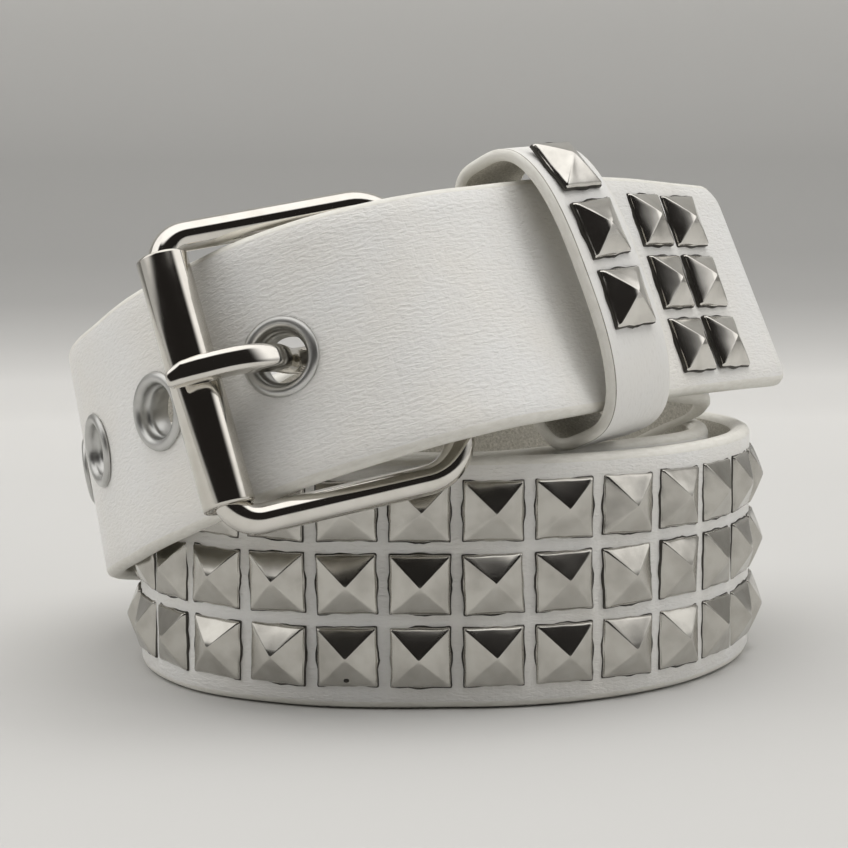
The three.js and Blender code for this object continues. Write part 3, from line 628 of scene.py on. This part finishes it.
punch_radius = EYELET_BORE / 2 + EYELET_WALL + CLEARANCE
punch_ends = [(punch_radius, 2 * STRAP_THICKNESS), (punch_radius, -2 * STRAP_THICKNESS)]
for number, length in enumerate(hole_lengths):
    place = bed(length, EYELET_HALF_BED)
    punch = lathe(f"punch_{number}", punch_ends, place, [split_back], PUNCH_SIDES, closed=False)
    punch.data.flip_normals()
    take_away(strap, punch)
slot_stations = fold_stations(SLOT_REACH, SLOT_BENDS) + [(0, start_face, frame_across, start_out)]
slot_stations += [station(length) for length in (SLOT_REACH / 2, SLOT_REACH)]
slot_rings = [slot_ring(face, across, out) for _, face, across, out in slot_stations]
take_away(strap, skin("slot_bar", slot_rings, [split_back]))
dress(strap, "leather", "belt_strap")

# %% [markdown]
# ## One stud
# A stud is pressed from thin sheet over a square die: a short upright wall, a rolled shoulder, four slightly
# full slopes and soft ridges. Its legs leave a small bump in the middle of each side of the foot. Each level
# says how far out the side stands, how high it is and how much it feels of the foot's bumps.

# %% Stud shape
STUD_LEVELS = ((4.70, -0.35, 1), (4.68, 0.14, 1), (4.53, 0.20, 0.6), (4.5, 0.42, 0.25), (4.38, 0.62, 0.1),
               (4.12, 0.79, 0), (3.4, 1.17, 0), (2.3, 1.71, 0), (1.1, 2.24, 0), (0.22, 2.60, 0))
SIDE_STOPS = (-0.93, -0.72, -0.40, -0.13, 0.0, 0.13, 0.40, 0.72, 0.93)
LEG_STOP, LEG_BUMP, SIDE_PINCH, CORNER_PULL = 0.14, 0.26, 0.10, 0.985
FOOT_WOBBLE, PEAK_WANDER, TILTS = 0.035, 0.16, (1.3, 1.2, 1.2)
PEAK_FROM, PEAK_RISE, PINCH_REACH, SHADED_FOOT_BANDS = 0.8, 1.9, 4.4, 2
chance = np.random.default_rng(7)


def stud_rings():
    wobble = chance.normal(0, FOOT_WOBBLE, (4, len(SIDE_STOPS)))
    peak = chance.normal(0, PEAK_WANDER, 2)
    rings = []
    for reach, height, foot in STUD_LEVELS:
        lean = peak * max(0, (height - PEAK_FROM) / PEAK_RISE)
        ring = []
        for quarter in range(4):
            turn = quarter * math.pi / 2

            def corner(x, z):
                return (x * math.cos(turn) - z * math.sin(turn) + lean[0], height,
                        -(x * math.sin(turn) + z * math.cos(turn)) + lean[1])

            for index, stop in enumerate(SIDE_STOPS):
                bulge = LEG_BUMP * foot if abs(stop) < LEG_STOP else 0
                pinch = SIDE_PINCH * (1 - stop * stop) * min(1, reach / PINCH_REACH)
                ring.append(corner(reach + bulge - pinch + wobble[quarter][index] * foot, reach * stop))
            ring.append(corner(reach * CORNER_PULL, reach * CORNER_PULL))
        rings.append(ring)
    return rings


print("a stud has", len(STUD_LEVELS), "levels of", 4 * (len(SIDE_STOPS) + 1), "points")

# %% [markdown]
# ## Setting many studs
# No two studs are set quite alike, so each is turned and tipped by a degree or so before it goes to its bed.
# All studs of one field make one piece.

# %% Field of studs
def tilted(matrix):
    twist, nod, roll = np.radians(chance.normal(0, TILTS))
    turn = Matrix.Rotation(twist, 4, "Y") @ Matrix.Rotation(nod, 4, "X") @ Matrix.Rotation(roll, 4, "Z")
    return matrix @ np.array(turn)


def studs(name, matrices, nickel, *nodes):
    points, faces, picks = [], [], []
    sides = 4 * (len(SIDE_STOPS) + 1)
    bands = len(STUD_LEVELS) - 1
    for matrix in matrices:
        base = len(points)
        rings = stud_rings()
        turned = tilted(matrix)
        for ring in rings:
            points.extend(((placed(turned, ring) + SHIFT) / MM).tolist())
        for band in range(bands):
            here, there = base + band * sides, base + (band + 1) * sides
            for side in range(sides):
                following = (side + 1) % sides
                faces.append((here + side, here + following, there + following, there + side))
                # The lowest bands take the near-black finish, painted shade at the stud's foot.
                picks.append(1 if band < SHADED_FOOT_BANDS else 0)
        top = base + bands * sides
        faces.append(tuple(range(top, top + sides)))
        faces.append(tuple(range(base, base + sides))[::-1])
        picks += [0, 1]
    dress(mesh_piece(name, points, faces, [nickel, stud_foot], picks), "studs", *nodes)


coil_places = [bed(length, STUD_HALF_BED, offset) for length in columns for offset in row_offsets]
studs("coil_studs", coil_places, stud_nickel)

# %% [markdown]
# ## A speck and the tip's studs
# One stud of the lowest row has a small dark flaw near its foot. The studs beside the tip rest on the leather
# with a hair's gap, because they are pieces of their own in the CAD part.

# %% Speck and tip studs
FLAWED_STUD, SPECK_SIDES = 119, 14
speck_turns = np.linspace(0, 2 * math.pi, SPECK_SIDES, endpoint=False)
speck = [(0.42 * math.cos(turn), 1.13 - 0.09 * math.sin(turn), 3.45 + 0.30 * math.sin(turn))
         for turn in speck_turns]
speck_rings = [placed(coil_places[FLAWED_STUD], [(x, y + lift, z) for x, y, z in speck])
               for lift in (0.06, -0.2)]
dress(skin("stud_speck", speck_rings, [stud_foot]), "studs")
lifted = basis((1, 0, 0), (0, 1, 0), (0, 0, 1), (0, CLEARANCE, 0))
tip_places = [bed(length, STUD_HALF_BED, offset) @ lifted for length in tip_columns for offset in row_offsets]
tip_nodes = [f"tip_stud_{column}_{row}" for column in (1, 2) for row in (1, 2, 3)]
studs("tip_studs", tip_places, lit_nickel_painted_light, *tip_nodes)

# %% [markdown]
# ## Eyelets
# An eyelet is a little tube with a rolled flange. The press curls its far end over behind the strap. The
# rolled rim catches a bright arc, and the barrel steps down to the bore. Each pair below is a radius and a
# height over the leather.

# %% Eyelets
EYELET_SIDES = 64
back = -STRAP_THICKNESS - CLEARANCE
EYELET_PROFILE = [
    (4.25, 0.1), (5.9, 0.12), (6.02, 0.35), (5.86, 0.72), (5.5, 0.97), (5.05, 1.04), (4.62, 0.9), (4.32, 0.55),
    (4.2, 0.1), (4.12, -0.5), (3.85, -0.72), (3.66, -0.95), (3.6, -1.6), (3.6, back - 0.5), (3.8, back - 0.78),
    (5.8, back - 0.75), (6.0, back - 0.3), (4.3, back)]
for number, length in enumerate(hole_lengths, 1):
    place = bed(length, EYELET_HALF_BED)
    ring = lathe(f"eyelet_ring_{number}", EYELET_PROFILE, place, [eyelet_satin], EYELET_SIDES)
    dress(ring, "eyelets", f"eyelet_{number}")

# %% [markdown]
# ## Buckle frame and roller
# The frame is one round wire bent to a rectangle, its ends joined on the front bar where the roller hides
# them. The roller is a piece of tube whose rims were broken with a file.

# %% Frame and roller
WIRE_SIDES, CORNER_STEPS, ROLLER_SIDES = 36, 12, 72


def wire_ring(centre, outward, sideways, reach, thick, wide, square=2.0):
    turns = 2 * math.pi * np.arange(WIRE_SIDES) / WIRE_SIDES
    lifts = np.copysign(np.abs(np.cos(turns)) ** (2 / square), np.cos(turns))
    asides = np.copysign(np.abs(np.sin(turns)) ** (2 / square), np.sin(turns))
    return [centre + outward * (reach + thick * lift) + sideways * wide * aside
            for lift, aside in zip(lifts, asides)]


frame_rings = []
frame_corners = ((frame_reach, frame_half, REAR_CORNER, 90), (frame_reach, -frame_half, REAR_CORNER, 0),
                 (0, -frame_half, FRONT_BEND, -90), (0, frame_half, FRONT_BEND, -180))
for x, y, radius, first in frame_corners:
    middle = np.array([x - math.copysign(radius, x - frame_reach / 2), y - math.copysign(radius, y), 0])
    for step in range(CORNER_STEPS + 1):
        angle = math.radians(first - 90 * step / CORNER_STEPS)
        outward = np.array([math.cos(angle), math.sin(angle), 0])
        ring = wire_ring(middle, outward, np.array([0, 0, 1]), radius, bar_radius, bar_radius)
        frame_rings.append(placed(buckle, ring))
dress(skin("frame_wire", frame_rings, [buckle_nickel], closed=True), "buckle", "buckle_frame")
roller_half = frame_half - FRONT_CORNER
roller_end = [(bar_radius + CLEARANCE, roller_half), (roller_radius - 0.28, roller_half),
              (roller_radius - 0.06, roller_half - 0.12), (roller_radius, roller_half - 0.4)]
roller_profile = [(radius, -height) for radius, height in roller_end] + roller_end[::-1]
dress(lathe("roller_tube", roller_profile, buckle, [roller_nickel], ROLLER_SIDES), "buckle", "buckle_roller")

# %% [markdown]
# ## A curve for the prong
# A wire is bent by hand through a few stops. This curve passes through each stop and keeps the bends even,
# also where the stops lie close together.

# %% Curve through stops
def curve_through(stops, share):
    count = len(stops) - 1
    place = min(max(share, 0), 1) * count
    index = min(int(place), count - 1)
    t = place - index
    one, two = stops[index], stops[index + 1]
    zero = stops[index - 1] if index > 0 else 2 * one - two
    three = stops[index + 2] if index + 2 <= count else 2 * two - one
    gaps = [max(np.linalg.norm(b - a), 1e-6) ** 0.5 for a, b in ((zero, one), (one, two), (two, three))]
    first, second, third = (one - zero) / gaps[0], (two - one) / gaps[1], (three - two) / gaps[2]
    leave = (first - (two - zero) / (gaps[0] + gaps[1]) + second) * gaps[1]
    reach = (second - (three - one) / (gaps[1] + gaps[2]) + third) * gaps[1]
    return (one * (1 + 2 * t) * (1 - t) ** 2 + two * t * t * (3 - 2 * t)
            + leave * t * (1 - t) ** 2 - reach * t * t * (1 - t))


hole_bed = bed(hole_length, EYELET_HALF_BED)


def in_hole(slide, height):
    return placed(hole_bed, [(slide, height, 0)])[0]


def over_roller(reach, height, drop=0.0):
    return roller + frame_along * reach + frame_out * height - frame_across * drop


print("the prong spans", round(frame_reach, 1), "mm from bar to roller")

# %% [markdown]
# ## Prong
# The prong is wire flattened where it hooks round the bar, then full and round through the hole, with its end
# filed to a blunt chisel that rests over the roller. Each stop says where it is and its two half thicknesses.

# %% Prong
EYE_STEPS, STOP_STEPS, EYE_TURN, SQUARE_MORE, SQUARE_OVER = 24, 8, 255, 1.6, (48, 62)
eye_radius = bar_radius + CLEARANCE + PRONG_EYE / 2
thin, thick = PRONG_EYE / 2, PRONG_DIAMETER / 2
rim = CLEARANCE + EYELET_RIM
rest = roller_radius + CLEARANCE + thick
stations = []
for step in range(EYE_STEPS + 1):
    angle = math.radians(EYE_TURN) * (1 - step / EYE_STEPS)
    away, aside = frame_out * eye_radius * math.cos(angle), frame_along * eye_radius * math.sin(angle)
    stations.append((bar - away + aside, thin, PRONG_EYE_WIDTH / 2))
way_through = [
    (over_roller(frame_reach - 2 * eye_radius, -eye_radius + thick / 4), thick, thick),
    (in_hole(EYELET_BORE * 0.75, -STRAP_THICKNESS - 2.6 * thick), thick, thick),
    (in_hole(EYELET_BORE * 0.04, -STRAP_THICKNESS - rim), thick, thick),
    (in_hole(-EYELET_BORE * 0.1, rim), thick, thick),
    (over_roller(roller_radius + thick, rest + thick / 4), thick, thick),
    (over_roller(0, rest), thick, thick),
    (over_roller(-PRONG_OVERHANG + 2.2, rest - thick / 5, 0.12), thick * 0.86, thick * 0.9),
    (over_roller(-PRONG_OVERHANG + 0.5, rest - thick * 0.45, 0.42), thick * 0.6, thick * 0.66),
    (over_roller(-PRONG_OVERHANG, rest - thick * 0.55, 0.45), thick * 0.38, thick * 0.42)]
knots = [stations[-5][0], stations[-1][0], *[stop[0] for stop in way_through]]
before = stations[-1]
for index, stop in enumerate(way_through):
    for step in range(1, STOP_STEPS + 1):
        share = step / STOP_STEPS
        high_half, wide_half = (before[part] + (stop[part] - before[part]) * share for part in (1, 2))
        point = curve_through(knots, (index + 1 + share) / (len(knots) - 1))
        stations.append((point, high_half, wide_half))
    before = stop
prong_rings = []
for index, (point, high_half, wide_half) in enumerate(stations):
    way = unit(stations[min(index + 1, len(stations) - 1)][0] - stations[max(index - 1, 0)][0])
    square = 2 + SQUARE_MORE * ease(index, *SQUARE_OVER)
    outward = unit(np.cross(frame_across, way))
    prong_rings.append(wire_ring(point, outward, frame_across, 0, high_half, wide_half, square))
dress(skin("prong_pin", prong_rings, [buckle_nickel]), "buckle", "buckle_prong")

# %% [markdown]
# ## The keeper's line
# The keeper is a thinner band of smooth leather closed to a loop. It holds the tip end down, but loosely: it
# bows away above and below the strap. Its line is a rounded box with one fuller and one flatter side.

# %% Keeper's line
LOOP_STEPS, LOOP_POINTS = 2000, 160
keeper_length = tip_length - KEEPER_FROM_TIP
face, along, across, out = strap_at(keeper_length)
twist = np.array(Matrix.Rotation(-math.radians(KEEPER_TWIST), 4, "X"))
keeper = basis(across, out, along, face) @ twist
corners = []
for shift, deep in ((-KEEPER_BAND / 2, STRAP_THICKNESS), (KEEPER_BAND / 2, STRAP_THICKNESS + PLAIN_LAYER)):
    face, _, across, out = strap_at(keeper_length + shift)
    corners += [face + across * side * STRAP_WIDTH / 2 - out * depth
                for side in (-1, 1) for depth in (0, deep)]
depths = placed(np.linalg.inv(keeper), corners)[:, 1]
loop_front, loop_back = depths.max() + CLEARANCE, depths.min() - KEEPER_SLACK
loop_half = STRAP_WIDTH / 2 + KEEPER_ROOM


def loop_points(grow, steps):
    corner = (STRAP_WIDTH / 2 + CLEARANCE + KEEPER_LIFT / 2) / loop_half
    points = []
    for angle in 2 * math.pi * np.arange(steps) / steps:
        upward, outward = math.sin(angle), math.cos(angle)
        shape = KEEPER_SHAPES[0] if outward > 0 else KEEPER_SHAPES[1]
        deep = (loop_front - loop_back) / 2 / (1 - corner ** shape) ** (1 / shape)
        height = (loop_half + grow) * math.copysign(abs(upward) ** (2 / shape), upward)
        depth = (deep + grow) * math.copysign(abs(outward) ** (2 / shape), outward)
        points.append((KEEPER_LIFT + height, (loop_front + loop_back) / 2 + depth, 0))
    return np.array(points)


def even(points, count):
    around = np.vstack([points, points[:1]])
    gone = np.concatenate([[0], np.cumsum(np.linalg.norm(np.diff(around, axis=0), axis=1))])
    marks = np.linspace(0, gone[-1], count, endpoint=False)
    return np.column_stack([np.interp(marks, gone, around[:, axis]) for axis in range(3)]), marks, gone[-1]


loop, marks, loop_length = even(loop_points(KEEPER_THICKNESS, LOOP_STEPS), LOOP_POINTS)
print("the keeper is", round(loop_length), "mm round the outside")

# %% [markdown]
# ## Keeper band and its studs
# The cut through leather now follows the keeper's line. Three studs sit on it, and each one turns with the bow
# of the band.

# %% Keeper band and studs
KEEPER_ROUND, KEEPER_FACE_STEPS, FILM_LINE = 0.75, 10, 0.22
BAND_WAY = np.array([0, 0, 1])
section, kinds = strip_cut(KEEPER_BAND / 2, KEEPER_THICKNESS, KEEPER_ROUND, KEEPER_FACE_STEPS,
                           line=FILM_LINE)
rings, spots = [], []
for index, point in enumerate(loop):
    outward = np.cross(BAND_WAY, unit(loop[(index + 1) % len(loop)] - loop[index - 1]))
    rings.append(placed(keeper, [point + BAND_WAY * x - outward * depth for x, depth in section]))
    spots.append(leather_spots(marks[index], section, KEEPER_THICKNESS))
keeper_finishes = [keeper_leather, edge_paint, edge_line, split_back]
band = skin("keeper_band", rings, keeper_finishes, kinds, closed=True, spots=spots)
band.data.flip_normals()
dress(band, "leather", "keeper_loop")
keeper_places = []
for number in range(KEEPER_STUDS):
    place = (number * KEEPER_STUD_PITCH - KEEPER_STUD_DROP) % loop_length
    point = np.array([np.interp(place, marks, loop[:, axis]) for axis in range(3)])
    index = int(np.searchsorted(marks, place)) % len(loop)
    upward = unit(loop[(index + 3) % len(loop)] - loop[index - 4])
    outward = np.cross(BAND_WAY, upward)
    keeper_places.append(keeper @ basis(upward, outward, BAND_WAY, point + outward * CLEARANCE))
keeper_nodes = [f"keeper_stud_{number + 1}" for number in range(KEEPER_STUDS)]
studs("keeper_studs", keeper_places, lit_nickel_painted_light, *keeper_nodes)

# %% [markdown]
# ## The sheet's painted shading
# The belt stands on a pale sheet that sweeps up behind it. Its tones are painted shade and painted light
# standing
# in for how the overhead light falls: darker near the belt, palest where the floor meets the bend, greyer up
# the bend and a little lighter near its top. Each stop gives a distance up the sheet in metres and its tone.

# %% Sheet's finish
# Painted shade and light: these tones along the sheet stand in for how the light falls on it.
SHEET_SHADE_STOPS = ((-0.05, 0.55), (0.10, 0.60), (0.23, 0.67), (0.395, 0.80), (0.48, 0.775),
               (0.525, 0.60), (0.562, 0.465), (0.60, 0.425), (0.666, 0.437), (0.75, 0.61))
SHEET_FROM, SHEET_TO = -0.1, 0.8


def shaded_sweep_finish():
    finish, tree, shader = new_finish("paper_sweep_painted_shade")
    place = node(tree, "TexCoord").outputs["Object"]
    axes = node(tree, "SeparateXYZ", {"Vector": place}).outputs
    up_the_sheet = node(tree, "Math", {0: axes["Y"], 1: axes["Z"]}, operation="ADD").outputs[0]
    shade_ramp = node(tree, "ValToRGB", {"Fac": between(tree, up_the_sheet, SHEET_FROM, SHEET_TO, 0, 1)})
    stops = shade_ramp.color_ramp.elements
    stops.remove(stops[-1])
    for number, (reach, tone) in enumerate(SHEET_SHADE_STOPS):
        share = (reach - SHEET_FROM) / (SHEET_TO - SHEET_FROM)
        stop = stops[0] if number == 0 else stops.new(share)
        stop.position = share
        stop.color = (tone, tone * 0.99, tone * 0.962, 1)
    feed(tree, shader.inputs["Base Color"], shade_ramp.outputs["Color"])
    feed(tree, shader.inputs["Roughness"], 0.9)
    feed(tree, shader.inputs["Specular IOR Level"], 0.1)
    return finish


shaded_paper = shaded_sweep_finish()
print("sheet has", len(SHEET_SHADE_STOPS), "tones")

# %% [markdown]
# ## Table and backdrop
# The sheet lies flat under the belt, then bends up in a wide curve. It isn't part of the belt, so it is put on
# the stage and rides on no body.

# %% Sweep
BEND_START, BEND_RADIUS, BEND_STEPS, SHEET_TOP, SHEET_DROP = 420, 160, 16, 900, 0.0001
bend = [(BEND_START + BEND_RADIUS * math.sin(turn), BEND_RADIUS - BEND_RADIUS * math.cos(turn))
        for turn in np.linspace(0, math.pi / 2, BEND_STEPS)]
profile = [(-1500, 0), (-300, 0), (0, 0), (150, 0), (300, 0), *bend, (BEND_START + BEND_RADIUS, SHEET_TOP)]
points = [(x / MM, y / MM, z / MM - SHEET_DROP) for y, z in profile for x in (-1800, -600, 600, 1800)]
quads = [(row * 4 + side, row * 4 + side + 1, row * 4 + side + 5, row * 4 + side + 4)
         for row in range(len(profile) - 1) for side in range(3)]
sweep = mesh_piece("sweep", points, quads, [shaded_paper], [0] * len(quads))
print("sweep has", len(quads), "faces")

# %% [markdown]
# ## The room
# Bright metal shows its surroundings more than itself. The room behind the camera is dark: that dark room is
# the black band on the roller. Windows stand left and right, the ceiling is bright, and the walls are dimmer
# low down. Bearings are counted from the camera's side, in degrees, and each border fades between two of them.

# %% Surroundings
LEFT_BORDER, RIGHT_BORDER, LOW_BORDER, HIGH_BORDER = (-58, -44), (86, 58), (1, 5), (60, 52)
WINDOW_SILL, CEILING_BORDER = (9, 26), (53, 64)
LOW_WALL, WINDOW = (0.85, 0.84, 0.82), (2.1, 2.07, 2.03)
DARK, CEILING = (0.03, 0.027, 0.025), (2.3, 2.27, 2.22)
ROOM_STRENGTH = 0.6
world = bpy.data.worlds.new("room")
bpy.context.scene.world = world
world.use_nodes = True
tree = world.node_tree
parts = node(tree, "SeparateXYZ", {"Vector": node(tree, "TexCoord").outputs["Generated"]}).outputs
forward = node(tree, "Math", {0: parts["Y"], 1: -1.0}, operation="MULTIPLY").outputs[0]
bearing = node(tree, "Math", {0: parts["X"], 1: forward}, operation="ARCTAN2").outputs[0]
height = node(tree, "Math", {0: parts["Z"]}, operation="ARCSINE").outputs[0]


def soft_step(value, border):
    low, high = map(math.radians, border)
    values = {"Value": value, "From Min": low, "From Max": high, "To Min": 0, "To Max": 1}
    return node(tree, "MapRange", values, interpolation_type="SMOOTHSTEP").outputs["Result"]


def both(first, second):
    return node(tree, "Math", {0: first, 1: second}, operation="MULTIPLY").outputs[0]


lean = between(tree, height, 0.1, 0.6, 0.62, 0.0)
slant = node(tree, "Math", {0: bearing, 1: lean}, operation="ADD").outputs[0]
dark_sides = both(soft_step(slant, LEFT_BORDER), soft_step(bearing, RIGHT_BORDER))
dark = both(dark_sides, both(soft_step(height, LOW_BORDER), soft_step(height, HIGH_BORDER)))
walls = blend(tree, soft_step(height, WINDOW_SILL), (*LOW_WALL, 1), (*WINDOW, 1))
room = blend(tree, dark, walls, (*DARK, 1))
sky = blend(tree, soft_step(height, CEILING_BORDER), room, (*CEILING, 1))
feed(tree, tree.nodes["Background"].inputs["Color"], sky)
feed(tree, tree.nodes["Background"].inputs["Strength"], ROOM_STRENGTH)
print("room has", len(tree.nodes), "nodes")

# %% [markdown]
# ## Lamps
# A wide soft lamp hangs overhead and two smaller ones stand left and right. They light the leather only: the
# metal shows the room, not the lamps.

# %% Lamps
def lamp(name, place, aim, size, power):
    light = bpy.data.lights.new(name, "AREA")
    light.shape, light.size, light.size_y, light.energy = "RECTANGLE", *size, power
    made = bpy.data.objects.new(name, light)
    made.location, made.rotation_mode = place, "QUATERNION"
    made.rotation_quaternion = (Vector(place) - Vector(aim)).to_track_quat("Z", "Y")
    made.visible_glossy = False
    bpy.context.scene.collection.objects.link(made)
    print(name, "gives", power, "W")


lamp("overhead_softbox", (0.05, -0.10, 0.85), (0, 0, 0.03), (1.0, 0.7), 3.0)
lamp("right_softbox", (0.75, -0.25, 0.30), (0, 0, 0.04), (0.35, 0.6), 1.15)
lamp("left_softbox", (-0.75, -0.10, 0.35), (0, 0, 0.04), (0.35, 0.5), 1.2)

# %% [markdown]
# ## Camera
# The camera stands a little above the coil and looks down by less than six degrees. Its place and lens were
# worked out from the studs' spacing in the photograph.

# %% Camera
CAMERA_LENS, CAMERA_SENSOR, CAMERA_PLACE = 86.2, 36, (-5.5, -347, 73.38)
CAMERA_PITCH, CAMERA_ROLL, CAMERA_CLIP = 0.1013, -0.0062, (0.01, 20)
camera = bpy.data.objects.new("camera", bpy.data.cameras.new("camera"))
camera.data.lens, camera.data.sensor_width = CAMERA_LENS, CAMERA_SENSOR
camera.data.clip_start, camera.data.clip_end = CAMERA_CLIP
camera.location = (np.array(CAMERA_PLACE) + SHIFT) / MM
look = Euler((math.pi / 2 - CAMERA_PITCH, 0, 0)).to_matrix() @ Matrix.Rotation(CAMERA_ROLL, 3, "Z")
camera.rotation_mode = "QUATERNION"
camera.rotation_quaternion = look.to_quaternion()
bpy.context.scene.collection.objects.link(camera)
bpy.context.scene.camera = camera
bpy.context.scene.view_settings.view_transform = "Standard"
print("camera stands at", [round(value, 3) for value in camera.location], "m")
